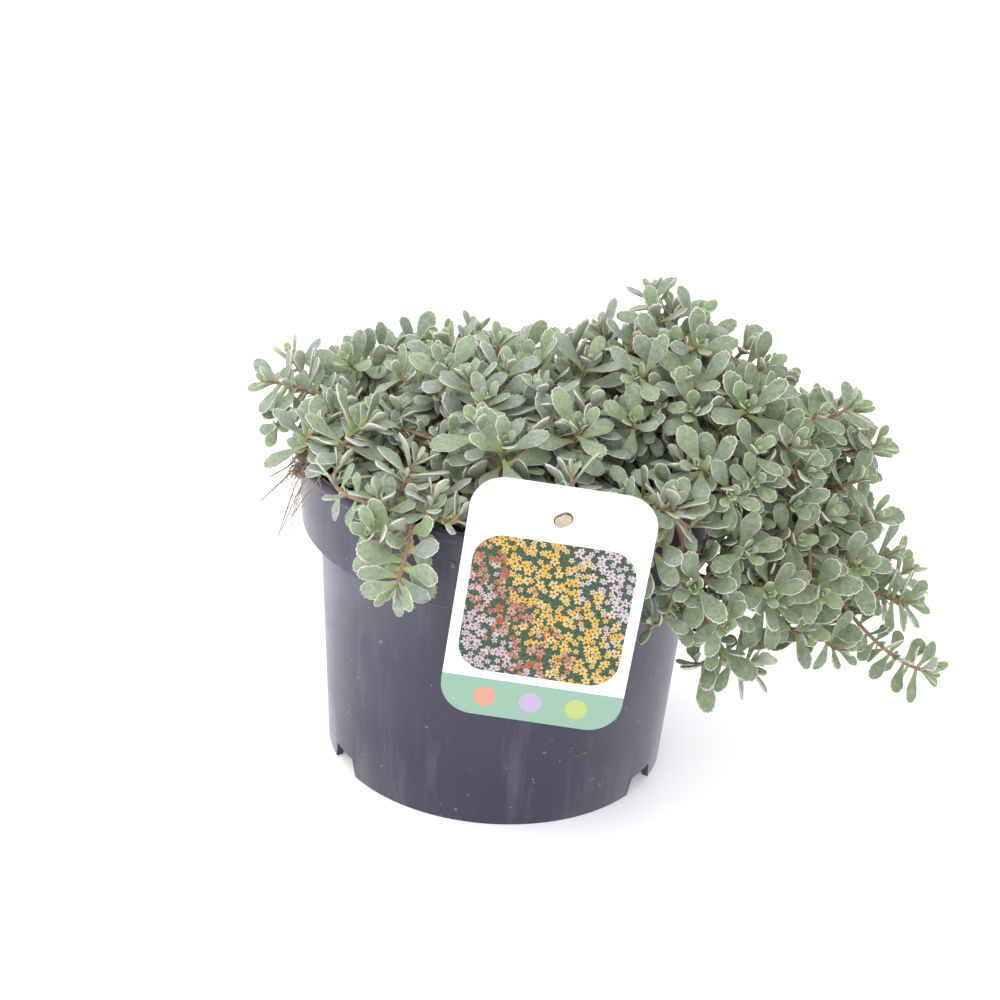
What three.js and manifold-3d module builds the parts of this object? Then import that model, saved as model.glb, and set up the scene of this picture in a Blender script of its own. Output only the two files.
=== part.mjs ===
// Potted tricolor two-row stonecrop: a nursery pot filled with soil, leafy stonecrop stems that cushion it
// and trail over its right side, a tuft of dry roots on the rim, and a hanging plant label.
// Millimetres, +Z up, front towards -Y, origin at the middle of the pot's foot.
import * as THREE from "three";
import { mergeVertices } from "three/addons/utils/BufferGeometryUtils.js";
import loadManifold from "manifold-3d";

// Gap kept between pieces that touch on the real thing
const GAP = 0.3;

// Pot: outer radii and heights, from the foot up
const ROUND_SIDES = 36;
const WALL = 1.8;
const POT_HEIGHT = 146.5;
const RIM_RADIUS = 95;
const LIP_HEIGHT = 4;
const COLLAR_TOP_RADIUS = 92.7;
const COLLAR_FOOT_RADIUS = 91.1;
const COLLAR_FOOT_Z = 110.6;
const BODY_TOP_RADIUS = 83;
const BASE_RADIUS = 76;
const FLOOR_Z = 10;
const HUB_RADIUS = 30;
const NOTCH_WIDTH = 21;
const NOTCH_TOP_WIDTH = 15;
const NOTCH_HEIGHT = 8.5;
const NOTCH_ANGLES = [-60, 60, 180];

// Soil
const SOIL_Z = POT_HEIGHT - 13;
const SOIL_LUMP = 1.6;
const ROOT_DEPTH = 11;

// Label card and the strap that carries it
const CARD_WIDTH = 75;
const CARD_HEIGHT = 108;
const CARD_THICKNESS = 0.8;
const CARD_CORNER = 14;
const CARD_TILT = -5.2;
const CARD_FRONT_Y = -96.9;
const HOLE_X = 21;
const HOLE_Z = 158.5;
const HOLE_BELOW_TOP = 14.5;
const NOSE_LENGTH = 7;
const NOSE_WIDTH = 4.6;
const NOSE_TURN = 35;
const STRAP_WIDTH = 8;
const STRAP_THICKNESS = 1.2;
const STRAP_DEPTH = 24;

// Leaves: a wedge from a narrow base to a toothed end. Half of its outline between base and tip, as
// [share of the length, share of the half width]
const HALF_OUTLINE = [[0.63, 1], [0.775, 0.75], [0.9, 0.68]];
const RIB_SHARES = [0.16, 0.7];
// How far behind the stem's axis a leaf is rooted
const BASE_SINK = 0.4;
const LEAF_ASPECT = 0.41;
const LEAF_CUP = 0.13;
const LEAF_DEPTH = 1.3;
const CLEARANCE = 0.35;
// A leaf's outer part, which no other leaf of its own stem may cross, starts here
const OUTER_SHARE = 0.3;

// Where the light comes from, and how far a leaf twists its upper side towards it
const LIGHT = [0, -0.45, 0.9];
const LIGHT_PULL = 0.5;

// Leaf pairs of a crown, from its tip down: distance below the tip, size, and angle from the stem
const PAIRS = [
  { back: 2.2, size: 0.62, lean: 38 },
  { back: 5, size: 0.92, lean: 60 },
  { back: 9, size: 1, lean: 78 },
  { back: 16, size: 0.95, lean: 84 },
];
// A crown with longer leaves than this has its young inner pair in this model too
const FULL_CROWN = 21.5;
// A stem longer than this bears one more pair
const LONG_STEM = 105;

// What a leaf may change to keep clear of its neighbours, in the order tried: turn, lean and size
const WAYS = [
  [0, 0, 1], [0, -14, 1], [0, 12, 1], [14, 0, 1], [-14, 0, 1], [16, -14, 0.94], [-16, -14, 0.94],
  [26, 6, 0.9], [-26, 6, 0.9], [0, -26, 0.88], [0, 24, 0.88], [0, 0, 0.72], [20, -22, 0.72], [-20, -22, 0.72],
  [34, 12, 0.72], [-34, 12, 0.72], [0, -36, 0.6], [0, 30, 0.6], [0, 0, 0.5],
];

// Stems are square in section, and a leaf stands on the middle of each side in turn
const STEM_RADIUS = 1.5;
const SIDE_STEM_RADIUS = 1.3;
const STEM_STEP = 20;
const HOLE_RADIUS = 2.6;
// How a whole shoot may bend sideways and arch higher to keep clear of the rim and of stems that stand already
const BENDS = [0, 6, -6, 12, -12, 18, -18];
const LIFTS = [0, 14, 28, 42];
// Control points of a stem that lie lower than the rim keep this far outside it
const RIM_ROOM = 9;

// Shoots: where the stem leaves the soil, then each crown's tip and its leaf length.
// The first crown ends the main stem, and the others end its side branches.
const SHOOTS = [
  // Stems that trail over the rim
  { root: [76, 6], rise: 92, crowns: [[181, 0, 82, 19], [171, 8, 101, 19], [159, -10, 128, 21], [150, -8, 144, 18]] },
  { root: [76, -10], rise: 92, crowns: [[188, -24, 61, 18], [148, -32, 73, 19], [128, -46, 87, 21]] },
  { root: [56, -60], rise: 60, crowns: [[106, -56, 77, 19], [60, -82, 107, 13]] },
  { root: [76, -22], rise: 60, crowns: [[134, -30, 137, 19], [120, -46, 131, 19]] },
  { root: [74, -32], rise: 64, crowns: [[114, -56, 106, 22], [98, -66, 134, 19]] },
  { root: [76, 24], rise: 76, crowns: [[147, 20, 112, 19], [140, 32, 134, 19]] },
  { root: [66, 46], rise: 60, crowns: [[124, 50, 140, 19], [140, 36, 112, 19]] },
  { root: [54, 56], rise: 44, crowns: [[98, 66, 150, 20]] },
  // Cushion over the left and middle of the pot
  { root: [-70, 2], rise: 40, aim: [-0.85, -0.45, 0.3], crowns: [[-106, 0, 168, 21], [-101, -12, 153, 13]] },
  { root: [-46, -30], crowns: [[-61, -41, 170, 23], [-49, -26, 172, 13]] },
  { root: [-68, -24], crowns: [[-84, -34, 161, 20], [-74, -18, 169, 14]] },
  { root: [-32, -56], crowns: [[-39, -67, 166, 20]] },
  { root: [-30, -8], crowns: [[-30, -13, 185, 23], [-52, -4, 178, 16]] },
  { root: [-52, 22], crowns: [[-54, 30, 175, 16], [-74, 15, 173, 18]] },
  { root: [-38, 48], crowns: [[-45, 60, 167, 20]] },
  { root: [-6, -50], crowns: [[-4, -63, 174, 23]] },
  { root: [20, -34], crowns: [[26, -48, 177, 22], [9, -26, 184, 17]] },
  { root: [18, -66], crowns: [[23, -74, 168, 18]] },
  { root: [24, 2], crowns: [[29, 0, 187, 22]] },
  { root: [-4, 32], crowns: [[3, 32, 173, 19], [-24, 46, 172, 16]] },
  { root: [-24, -74], crowns: [[-31, -86, 161, 14], [-20, -92, 156, 13]] },
  { root: [-54, -60], crowns: [[-54, -82, 157, 16], [-71, -60, 159, 14]] },
  { root: [-42, -74], rise: 44, aim: [0.1, -0.55, -0.8], crowns: [[-43, -108, 130, 22], [-55, -100, 147, 18]] },
  { root: [-68, 40], crowns: [[-84, 44, 156, 18]] },
  { root: [-42, 64], crowns: [[-60, 77, 154, 18], [-28, 86, 156, 17]] },
  { root: [8, 68], crowns: [[12, 80, 153, 17]] },
  { root: [34, 60], crowns: [[46, 74, 158, 18]] },
  { root: [52, -66], crowns: [[66, -73, 157, 17], [44, -82, 159, 14]] },
  { root: [46, -18], crowns: [[59, -9, 175, 15], [48, -34, 175, 17]] },
  { root: [56, -48], crowns: [[69, -44, 165, 17]] },
  { root: [-10, -28], crowns: [[-13, -38, 183, 18]] },
  { root: [-14, 6], crowns: [[-9, 9, 190, 19], [-32, 20, 185, 17]] },
  // Upright crown of the right side
  { root: [56, 26], crowns: [[76, 22, 203, 20], [75, -4, 199, 19], [50, 36, 189, 22]] },
  { root: [66, 14], crowns: [[98, 16, 193, 20], [104, 0, 190, 19]] },
  { root: [42, 12], crowns: [[49, 13, 195, 20]] },
  { root: [62, -4], crowns: [[143, -2, 176, 18], [127, -18, 177, 16], [89, -14, 186, 21]] },
  { root: [66, 34], crowns: [[158, 8, 154, 20], [150, 26, 162, 18], [118, 34, 170, 19]] },
  { root: [70, -14], crowns: [[106, -17, 183, 22], [116, -34, 169, 19]] },
  { root: [68, -30], crowns: [[123, -34, 158, 19], [99, -48, 172, 18]] },
  { root: [64, -40], crowns: [[87, -50, 158, 22]] },
];

// Dry roots: the knot on the soil by the rim, and the free end of each strand
const KNOT = [-79, -36, 138];
const KNOT_RADIUS = 3.2;
const STRAND_RADIUS = 0.45;
const STRAND_ENDS = [
  [-105, -42, 131], [-102, -34, 139], [-95, -50, 122], [-90, -58, 133], [-97, -44, 116],
];

const wasm = await loadManifold();
wasm.setup();

// A closed geometry as a solid, with shared corners merged and its faces pointing out
function solidOf(geometry) {
  const bare = geometry.clone();
  bare.deleteAttribute("normal");
  bare.deleteAttribute("uv");
  const merged = mergeVertices(bare, 1e-4);
  const places = merged.getAttribute("position");
  const index = merged.getIndex().array;
  const kept = [];
  let volume = 0;
  const corners = [new THREE.Vector3(), new THREE.Vector3(), new THREE.Vector3()];
  for (let i = 0; i < index.length; i += 3) {
    const [a, b, c] = [index[i], index[i + 1], index[i + 2]];
    if (a === b || b === c || a === c) continue;
    kept.push(a, b, c);
    corners.forEach((corner, k) => corner.fromBufferAttribute(places, [a, b, c][k]));
    volume += corners[0].dot(corners[1].clone().cross(corners[2])) / 6;
  }
  if (volume < 0) kept.reverse();
  const mesh = new wasm.Mesh({
    numProp: 3,
    vertProperties: Float32Array.from(places.array),
    triVerts: Uint32Array.from(kept),
  });
  return new wasm.Manifold(mesh);
}

// A solid as a named mesh
function meshOf(name, solid, material) {
  const { vertProperties, triVerts } = solid.getMesh();
  const geometry = new THREE.BufferGeometry();
  geometry.setAttribute("position", new THREE.BufferAttribute(vertProperties, 3));
  geometry.setIndex(new THREE.BufferAttribute(triVerts, 1));
  geometry.computeVertexNormals();
  const mesh = new THREE.Mesh(geometry, material);
  mesh.name = name;
  return mesh;
}

function finish(color, roughness) {
  return new THREE.MeshStandardMaterial({ color, roughness, metalness: 0 });
}

const potPlastic = finish(0x55546a, 0.5);
const soilEarth = finish(0x35281f, 0.95);
const cardPlastic = finish(0xf4f4f2, 0.35);
const strapPlastic = finish(0xd8ccb4, 0.5);
const foliage = finish(0x86a583, 0.55);
const dryRoot = finish(0x8a6a52, 0.85);

// A profile of [radius, height] turned about the pot's axis
function turned(profile) {
  const points = profile.map(([radius, z]) => new THREE.Vector2(radius, z));
  return new THREE.LatheGeometry(points, ROUND_SIDES).rotateX(Math.PI / 2);
}

// Outer radius of the pot's straight body at a height
function bodyRadius(z) {
  return BASE_RADIUS + ((BODY_TOP_RADIUS - BASE_RADIUS) * z) / COLLAR_FOOT_Z;
}

// Inner radii of the collar
const COLLAR_INSIDE_TOP = COLLAR_TOP_RADIUS - WALL;
const COLLAR_INSIDE_FOOT = COLLAR_FOOT_RADIUS - WALL;
const LEDGE_Z = COLLAR_FOOT_Z + WALL;

// Pot: a thin turned shell with a wide collar, a rolled lip, a raised floor and three drainage notches
function buildPot() {
  const shell = solidOf(turned([
    [0, 0],
    [HUB_RADIUS, 0],
    [HUB_RADIUS + 2, FLOOR_Z - WALL],
    [BASE_RADIUS - 5, FLOOR_Z - WALL],
    [BASE_RADIUS - 3, 0],
    [BASE_RADIUS, 0],
    [BODY_TOP_RADIUS, COLLAR_FOOT_Z],
    [COLLAR_FOOT_RADIUS, COLLAR_FOOT_Z],
    [COLLAR_TOP_RADIUS, POT_HEIGHT - LIP_HEIGHT],
    [RIM_RADIUS, POT_HEIGHT - LIP_HEIGHT + 0.6],
    [RIM_RADIUS, POT_HEIGHT - 1],
    [RIM_RADIUS - 1, POT_HEIGHT],
    [COLLAR_INSIDE_TOP, POT_HEIGHT],
    [COLLAR_INSIDE_FOOT, LEDGE_Z],
    [BODY_TOP_RADIUS - WALL, LEDGE_Z],
    [bodyRadius(FLOOR_Z) - WALL, FLOOR_Z],
    [HUB_RADIUS, FLOOR_Z],
    [HUB_RADIUS - 2, WALL],
    [0, WALL],
  ]));
  const half = NOTCH_WIDTH / 2;
  const halfTop = NOTCH_TOP_WIDTH / 2;
  const notch = new THREE.Shape([
    new THREE.Vector2(-half, -1),
    new THREE.Vector2(half, -1),
    new THREE.Vector2(halfTop, NOTCH_HEIGHT),
    new THREE.Vector2(-halfTop, NOTCH_HEIGHT),
  ]);
  const depth = 10;
  return NOTCH_ANGLES.reduce((pot, angle) => {
    const cutter = new THREE.ExtrudeGeometry(notch, { depth: depth * 2, bevelEnabled: false })
      .translate(0, 0, BASE_RADIUS - depth)
      .rotateX(Math.PI / 2)
      .rotateZ(THREE.MathUtils.degToRad(angle));
    return pot.subtract(solidOf(cutter));
  }, shell);
}

// Label card: a thin plate with round corners, hung from its slot and a little askew
function buildCard() {
  const [w, h, r] = [CARD_WIDTH / 2, CARD_HEIGHT, CARD_CORNER];
  const top = HOLE_BELOW_TOP;
  const outline = new THREE.Shape();
  outline.absarc(w - r, top - r, r, 0, Math.PI / 2);
  outline.absarc(-w + r, top - r, r, Math.PI / 2, Math.PI);
  outline.absarc(-w + r, top - h + r, r, Math.PI, 1.5 * Math.PI);
  outline.absarc(w - r, top - h + r, r, 1.5 * Math.PI, 2 * Math.PI);
  outline.holes.push(slotShape(NOSE_LENGTH + 2 * GAP + 0.4, NOSE_WIDTH + 2 * GAP + 0.4));
  const plate = new THREE.ExtrudeGeometry(outline, {
    depth: CARD_THICKNESS,
    bevelEnabled: false,
    curveSegments: 3,
  });
  return solidOf(placedOnHole(plate, CARD_FRONT_Y + CARD_THICKNESS));
}

// A round-ended slot, turned as the nose is
function slotShape(length, width) {
  const turn = THREE.MathUtils.degToRad(NOSE_TURN);
  const reach = (length - width) / 2;
  const [x, y] = [Math.cos(turn) * reach, Math.sin(turn) * reach];
  const slot = new THREE.Shape();
  slot.absarc(x, y, width / 2, turn - Math.PI / 2, turn + Math.PI / 2);
  slot.absarc(-x, -y, width / 2, turn + Math.PI / 2, turn + 1.5 * Math.PI);
  return slot;
}

// A shape drawn flat about the card's hole, extruded forwards from backY
function placedOnHole(geometry, backY) {
  return geometry
    .rotateZ(THREE.MathUtils.degToRad(CARD_TILT))
    .rotateX(Math.PI / 2)
    .translate(HOLE_X, backY, HOLE_Z);
}

// Strap: stands in the soil inside the wall, bridges the lip and rises to a nose that carries the card
function strapProfile(grow) {
  const front = CARD_FRONT_Y + CARD_THICKNESS + 0.6;
  const inside = -Math.sqrt(COLLAR_INSIDE_FOOT ** 2 - (HOLE_X + STRAP_WIDTH / 2) ** 2) + GAP + 0.2;
  const bridge = POT_HEIGHT + GAP;
  const low = POT_HEIGHT - STRAP_DEPTH;
  const points = [
    [front - grow, HOLE_Z + 5],
    [front - grow, bridge - grow],
    [inside - grow, bridge - grow],
    [inside - grow, low - grow],
    [inside + STRAP_THICKNESS + grow, low - grow],
    [inside + STRAP_THICKNESS + grow, bridge + STRAP_THICKNESS + grow],
    [front + STRAP_THICKNESS + grow, bridge + STRAP_THICKNESS + grow],
    [front + STRAP_THICKNESS + grow, HOLE_Z + 5],
  ];
  const shape = new THREE.Shape(points.map(([y, z]) => new THREE.Vector2(y, z)));
  const width = STRAP_WIDTH + 2 * grow;
  const across = new THREE.Matrix4().makeBasis(
    new THREE.Vector3(0, 1, 0),
    new THREE.Vector3(0, 0, 1),
    new THREE.Vector3(1, 0, 0),
  );
  return solidOf(
    new THREE.ExtrudeGeometry(shape, { depth: width, bevelEnabled: false })
      .applyMatrix4(across)
      .translate(HOLE_X - width / 2, 0, 0),
  );
}

function buildStrap() {
  const reach = 3.6;
  const nose = new THREE.ExtrudeGeometry(slotShape(NOSE_LENGTH, NOSE_WIDTH), {
    depth: reach,
    bevelEnabled: false,
    curveSegments: 3,
  });
  const strapFront = CARD_FRONT_Y + CARD_THICKNESS + 0.6;
  return strapProfile(0).add(solidOf(placedOnHole(nose, strapFront + 0.6)));
}

// A tube of four sides along a curve, with its first corner turned by an angle in degrees
function tubeAlong(curve, radius, steps, turn = 0) {
  const corners = [0, 1, 2, 3].map((quarter) => {
    const angle = THREE.MathUtils.degToRad(turn + 90 * quarter);
    return new THREE.Vector2(radius * Math.cos(angle), radius * Math.sin(angle));
  });
  return solidOf(new THREE.ExtrudeGeometry(new THREE.Shape(corners), {
    steps,
    bevelEnabled: false,
    extrudePath: curve,
  }));
}

// Dry roots: thin strands from one knot, laid over the lip and fanned out below it
function buildRoots() {
  const knot = new THREE.Vector3(...KNOT);
  const ball = new THREE.IcosahedronGeometry(KNOT_RADIUS, 0).translate(...KNOT);
  return STRAND_ENDS.reduce((tuft, end) => {
    const tip = new THREE.Vector3(...end);
    const bearing = Math.atan2(tip.y, tip.x);
    const at = (radius, z) => new THREE.Vector3(Math.cos(bearing) * radius, Math.sin(bearing) * radius, z);
    const inside = at(RIM_RADIUS - 7, POT_HEIGHT - 1);
    const crest = at(RIM_RADIUS - 2, POT_HEIGHT + 3);
    const outside = at(RIM_RADIUS + 3.5, POT_HEIGHT - 1.5).lerp(tip, 0.15);
    const path = new THREE.CatmullRomCurve3([knot, inside, crest, outside, tip], false, "catmullrom", 0.5);
    return tuft.add(tubeAlong(path, STRAND_RADIUS, 9));
  }, solidOf(ball));
}

// Draws between 0 and 1, the same for the same seed
function draws(seed) {
  let state = (seed * 7919 + 17) % 2147483647;
  return () => {
    state = (state * 48271) % 2147483647;
    return state / 2147483647;
  };
}

// The way a crown faces: outwards from its root, upwards where it stands high, and a little forwards
function facing(root, tip, given) {
  if (given) return new THREE.Vector3(...given).normalize();
  const out = new THREE.Vector3(tip.x - root.x, tip.y - root.y, 0);
  const reach = Math.min(out.length() / 50, 1);
  const height = THREE.MathUtils.clamp((tip.z - 60) / 110, 0.02, 1);
  return out.setLength(0.25 + 0.65 * reach).add(new THREE.Vector3(0, -0.22, height)).normalize();
}

// A stem: a curve with straight stretches between rings at even shares of it. Its frame turns only with the
// curve, so that leaves and sides line up
class Stem extends THREE.CubicBezierCurve3 {
  // Length of the lines through its control points, a little over its own
  get reach() {
    return this.v0.distanceTo(this.v1) + this.v1.distanceTo(this.v2) + this.v2.distanceTo(this.v3);
  }

  get stretches() {
    return Math.max(3, Math.round(this.reach / STEM_STEP));
  }

  frameAt(share) {
    const up = this.getTangent(share);
    const first = new THREE.Vector3().crossVectors(up, new THREE.Vector3(0, 1, 0)).normalize();
    return { up, first, second: new THREE.Vector3().crossVectors(up, first) };
  }

  // The middle of the stem, on the straight line between the rings on both sides of a share
  middleAt(share) {
    const below = Math.min(Math.floor(share * this.stretches), this.stretches - 1);
    const next = this.getPoint((below + 1) / this.stretches);
    return this.getPoint(below / this.stretches).lerp(next, share * this.stretches - below);
  }

  getSpacedPoints() {
    return this.getPoints(this.stretches);
  }

  computeFrenetFrames() {
    const frames = this.getSpacedPoints().map((_, k) => this.frameAt(k / this.stretches));
    return {
      tangents: frames.map((frame) => frame.up),
      normals: frames.map((frame) => frame.first),
      binormals: frames.map((frame) => frame.second),
    };
  }
}

// A point beside the pot and below its rim, moved out far enough for a stem to pass
function besideRim(point) {
  const radius = Math.hypot(point.x, point.y);
  if (point.z > POT_HEIGHT + RIM_ROOM || radius > RIM_RADIUS + RIM_ROOM) return point;
  const out = (RIM_RADIUS + RIM_ROOM) / radius;
  return point.multiply(new THREE.Vector3(out, out, 1));
}

// The curve of each stem in a shoot, the main one first. A side stem leaves the main one below its own crown
function stemsOf(shoot, bend, lift) {
  const root = new THREE.Vector3(shoot.root[0], shoot.root[1], SOIL_Z - ROOT_DEPTH);
  const tips = shoot.crowns.map(([x, y, z]) => new THREE.Vector3(x, y, z));
  const across = new THREE.Vector3(tips[0].y - root.y, root.x - tips[0].x, 0).setLength(bend);
  const span = root.distanceTo(tips[0]);
  const rise = shoot.rise ?? 0.5 * span;
  const aim = facing(root, tips[0], shoot.aim);
  const main = new Stem(
    root,
    root.clone().add(across).add(new THREE.Vector3(0, 0, rise + lift)),
    besideRim(tips[0].clone().add(across).addScaledVector(aim, -0.4 * span)),
    tips[0],
  );
  const sides = tips.slice(1).map((tip) => {
    let nearest = 0;
    for (let share = 0; share <= 1; share += 0.025) {
      if (main.getPoint(share).distanceTo(tip) < main.getPoint(nearest).distanceTo(tip)) nearest = share;
    }
    const fork = THREE.MathUtils.clamp(nearest - 0.18, 0.3, 0.82);
    const start = main.middleAt(fork);
    const length = start.distanceTo(tip);
    return new Stem(
      start,
      start.clone().addScaledVector(main.getTangent(fork), 0.35 * length),
      besideRim(tip.clone().addScaledVector(facing(root, tip), -0.4 * length)),
      tip,
    );
  });
  return [main, ...sides];
}

// A leaf's blade from one share of its length to its tip, swollen by grow on all sides
function bladeOf(leaf, start, grow) {
  const side = new THREE.Vector3().crossVectors(leaf.along, leaf.normal);
  const place = (share, across, lift) => {
    const edge = across / (0.5 * leaf.width);
    const height = leaf.curl * leaf.length * share * share + LEAF_CUP * 0.5 * leaf.width * edge * edge + lift;
    return leaf.base.clone()
      .addScaledVector(leaf.along, leaf.length * share)
      .addScaledVector(side, across)
      .addScaledVector(leaf.normal, height);
  };
  const sideOf = (sign) => HALF_OUTLINE.map(([share, wide]) => (
    place(share, sign * (0.5 * leaf.width * wide + grow), 0)
  ));
  const outline = [
    place(start, 0, 0),
    ...sideOf(1),
    place(1 + grow / leaf.length, 0, 0),
    ...sideOf(-1).reverse(),
  ];
  const ribs = RIB_SHARES.map((share) => place(Math.max(share, start + 0.05), 0, -LEAF_DEPTH - grow));
  const count = outline.length;
  const [tip, near, far] = [count / 2, count, count + 1];
  const faces = [[near, 1, 0], [near, far, 1], [near, count - 1, far], [near, 0, count - 1]];
  for (let k = 1; k < count - 1; k += 1) faces.push([far, k + 1, k]);
  for (let k = 1; k < count - 1; k += 1) faces.push([tip, (tip + k) % count, (tip + k + 1) % count]);
  const lift = grow ? grow / 0.9 : 0;
  const geometry = new THREE.BufferGeometry().setFromPoints([
    ...outline.map((point) => point.addScaledVector(leaf.normal, lift)),
    ...ribs,
  ]);
  geometry.setIndex(faces.flat());
  return solidOf(geometry);
}

// A leaf on a stem, at a distance below the crown's tip, turned about the stem and leaning away from it
function leafOn(stem, back, turn, lean, length, aspect, curl) {
  const share = Math.max(1 - back / stem.reach, 0.05);
  const { up, first, second } = stem.frameAt(share);
  const [a, b] = [THREE.MathUtils.degToRad(turn), THREE.MathUtils.degToRad(lean)];
  const out = first.multiplyScalar(Math.cos(a)).addScaledVector(second, Math.sin(a));
  const along = up.clone().multiplyScalar(Math.cos(b)).addScaledVector(out, Math.sin(b));
  const normal = up.clone().multiplyScalar(Math.sin(b)).addScaledVector(out, -Math.cos(b));
  normal.lerp(new THREE.Vector3(...LIGHT), LIGHT_PULL);
  normal.addScaledVector(along, -normal.dot(along)).normalize();
  return {
    base: stem.middleAt(share).addScaledVector(out, -BASE_SINK),
    along,
    normal,
    length,
    width: length * aspect,
    curl,
  };
}

// How far the first leaf of a crown is turned about its stem
function crownTurn(seed) {
  return 360 * draws(seed)();
}

// The leaves that a crown wants, each with its own draw of turn, lean, size and curl
function leavesWanted(crownLength, seed, stem) {
  const draw = draws(seed);
  const start = 360 * draw();
  const pairs = crownLength > FULL_CROWN ? PAIRS.slice(0, 3) : PAIRS.slice(1, 3);
  if (stem.reach > LONG_STEM) pairs.push(PAIRS[3]);
  return pairs.flatMap((pair, level) => [0, 180].map((half) => ({
    level,
    back: pair.back,
    turn: start + 90 * level + half + 16 * (draw() - 0.5),
    lean: pair.lean + 18 * (draw() - 0.5),
    length: crownLength * pair.size * (0.9 + 0.2 * draw()),
    aspect: LEAF_ASPECT * (0.92 + 0.22 * draw()),
    curl: 0.16 * (draw() - 0.62),
  })));
}

function touches(solid, others) {
  const box = solid.boundingBox();
  return others.some((other) => {
    const apart = [0, 1, 2].some((k) => box.max[k] < other.box.min[k] || box.min[k] > other.box.max[k]);
    if (apart) return false;
    const shared = solid.intersect(other.solid);
    const empty = shared.isEmpty();
    shared.delete();
    return !empty;
  });
}

function obstacle(solid, shoot = -1) {
  return { solid, box: solid.boundingBox(), shoot };
}

function seedOf(shoot, crown) {
  return 100 * (shoot + 1) + crown;
}

// Stems: each shoot takes the first bend that keeps its stems clear of all that stands already
function growStems(standing) {
  return SHOOTS.map((shoot, number) => {
    const tubesFor = (curves, grow) => curves.map((curve, k) => {
      const radius = (k ? SIDE_STEM_RADIUS : STEM_RADIUS) + grow;
      return tubeAlong(curve, radius, curve.stretches, crownTurn(seedOf(number, k)) + 45);
    });
    const curves = LIFTS.flatMap((lift) => BENDS.map((bend) => stemsOf(shoot, bend, lift)));
    const clear = curves.find((tries) => !tubesFor(tries, 1).some((tube) => touches(tube, standing)));
    const chosen = clear ?? curves[0];
    if (!clear) console.error(`shoot ${number + 1} has no clear bend`);
    const tubes = tubesFor(chosen, 0);
    standing.push(...tubes.map((tube) => obstacle(tube, number)));
    return { shoot, number, curves: chosen, tubes, blades: [], outers: [] };
  });
}

// Leaves: the young inner pairs of all crowns first, then the pairs below them, each where it finds room
function growLeaves(grown, standing) {
  const wanted = grown.flatMap((plant) => plant.curves.flatMap((stem, k) => {
    const length = plant.shoot.crowns[k][3];
    return leavesWanted(length, seedOf(plant.number, k), stem).map((leaf) => ({ ...leaf, stem, plant }));
  }));
  wanted.sort((one, other) => one.level - other.level);
  const placed = [];
  let dropped = 0;
  wanted.forEach((want) => {
    const { plant } = want;
    const others = [...standing, ...placed].filter((thing) => thing.shoot !== plant.number);
    const own = plant.outers;
    const fits = WAYS.some(([turn, lean, size]) => {
      const leaf = leafOn(want.stem, want.back, want.turn + turn, want.lean + lean,
        want.length * size, want.aspect, want.curl);
      if (touches(bladeOf(leaf, 0, CLEARANCE), others)) return false;
      if (touches(bladeOf(leaf, OUTER_SHARE, 0.1), own)) return false;
      const blade = bladeOf(leaf, 0, 0);
      plant.blades.push(blade);
      placed.push(obstacle(blade, plant.number));
      plant.outers.push(obstacle(bladeOf(leaf, OUTER_SHARE, 0), plant.number));
      return true;
    });
    if (!fits) dropped += 1;
  });
  if (dropped) console.error(`${dropped} of ${wanted.length} leaves found no room`);
}

// Soil: fills the pot to a lumpy top, with a plain hole along each main stem's foot and a slot for the strap
function buildSoil(grown) {
  const collarRadius = (z) => COLLAR_INSIDE_FOOT - GAP
    + ((COLLAR_INSIDE_TOP - COLLAR_INSIDE_FOOT) * (z - LEDGE_Z)) / (POT_HEIGHT - LEDGE_Z);
  const body = turned([
    [0, FLOOR_Z + GAP],
    [bodyRadius(FLOOR_Z) - WALL - 2 * GAP, FLOOR_Z + GAP],
    [BODY_TOP_RADIUS - WALL - GAP, LEDGE_Z + GAP],
    [collarRadius(LEDGE_Z), LEDGE_Z + GAP],
    [collarRadius(SOIL_Z) - 0.1, SOIL_Z],
    [62, SOIL_Z + 1.5],
    [0, SOIL_Z + 2],
  ]);
  const places = body.getAttribute("position");
  for (let i = 0; i < places.count; i += 1) {
    const [x, y, z] = [places.getX(i), places.getY(i), places.getZ(i)];
    const lump = Math.sin(x * 0.11 + 1) * Math.cos(y * 0.13) + 0.5 * Math.sin(x * 0.27 - y * 0.21);
    if (z > SOIL_Z + 0.5) places.setZ(i, z + SOIL_LUMP * lump);
  }
  const holes = grown.map(({ curves: [main] }) => {
    const bottom = main.v0.clone().sub(new THREE.Vector3(0, 0, 2 * GAP));
    const hole = new Stem(bottom, main.v1, main.v2, main.v3);
    return tubeAlong(hole, HOLE_RADIUS, main.stretches, 90);
  });
  const dug = holes.reduce((soil, hole) => soil.subtract(hole), solidOf(body));
  return dug.subtract(strapProfile(GAP));
}

const pot = buildPot();
const card = buildCard();
const strap = buildStrap();
const roots = buildRoots();
const carriers = [pot, card, strap, roots].map((solid) => obstacle(solid));
const grown = growStems([...carriers]);
const soil = buildSoil(grown);
const stems = grown.flatMap((plant) => plant.tubes.map((tube) => obstacle(tube, plant.number)));
growLeaves(grown, [...carriers, obstacle(soil), ...stems]);

const stonecrop = new THREE.Group();
stonecrop.add(meshOf("pot", pot, potPlastic));
stonecrop.add(meshOf("soil", soil, soilEarth));
stonecrop.add(meshOf("label_card", card, cardPlastic));
stonecrop.add(meshOf("label_strap", strap, strapPlastic));
stonecrop.add(meshOf("dry_roots", roots, dryRoot));
grown.forEach((plant) => {
  const fused = [...plant.tubes, ...plant.blades].reduce((whole, piece) => whole.add(piece));
  const name = `shoot_${String(plant.number + 1).padStart(2, "0")}`;
  stonecrop.add(meshOf(name, fused, foliage));
});

export default stonecrop;
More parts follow.
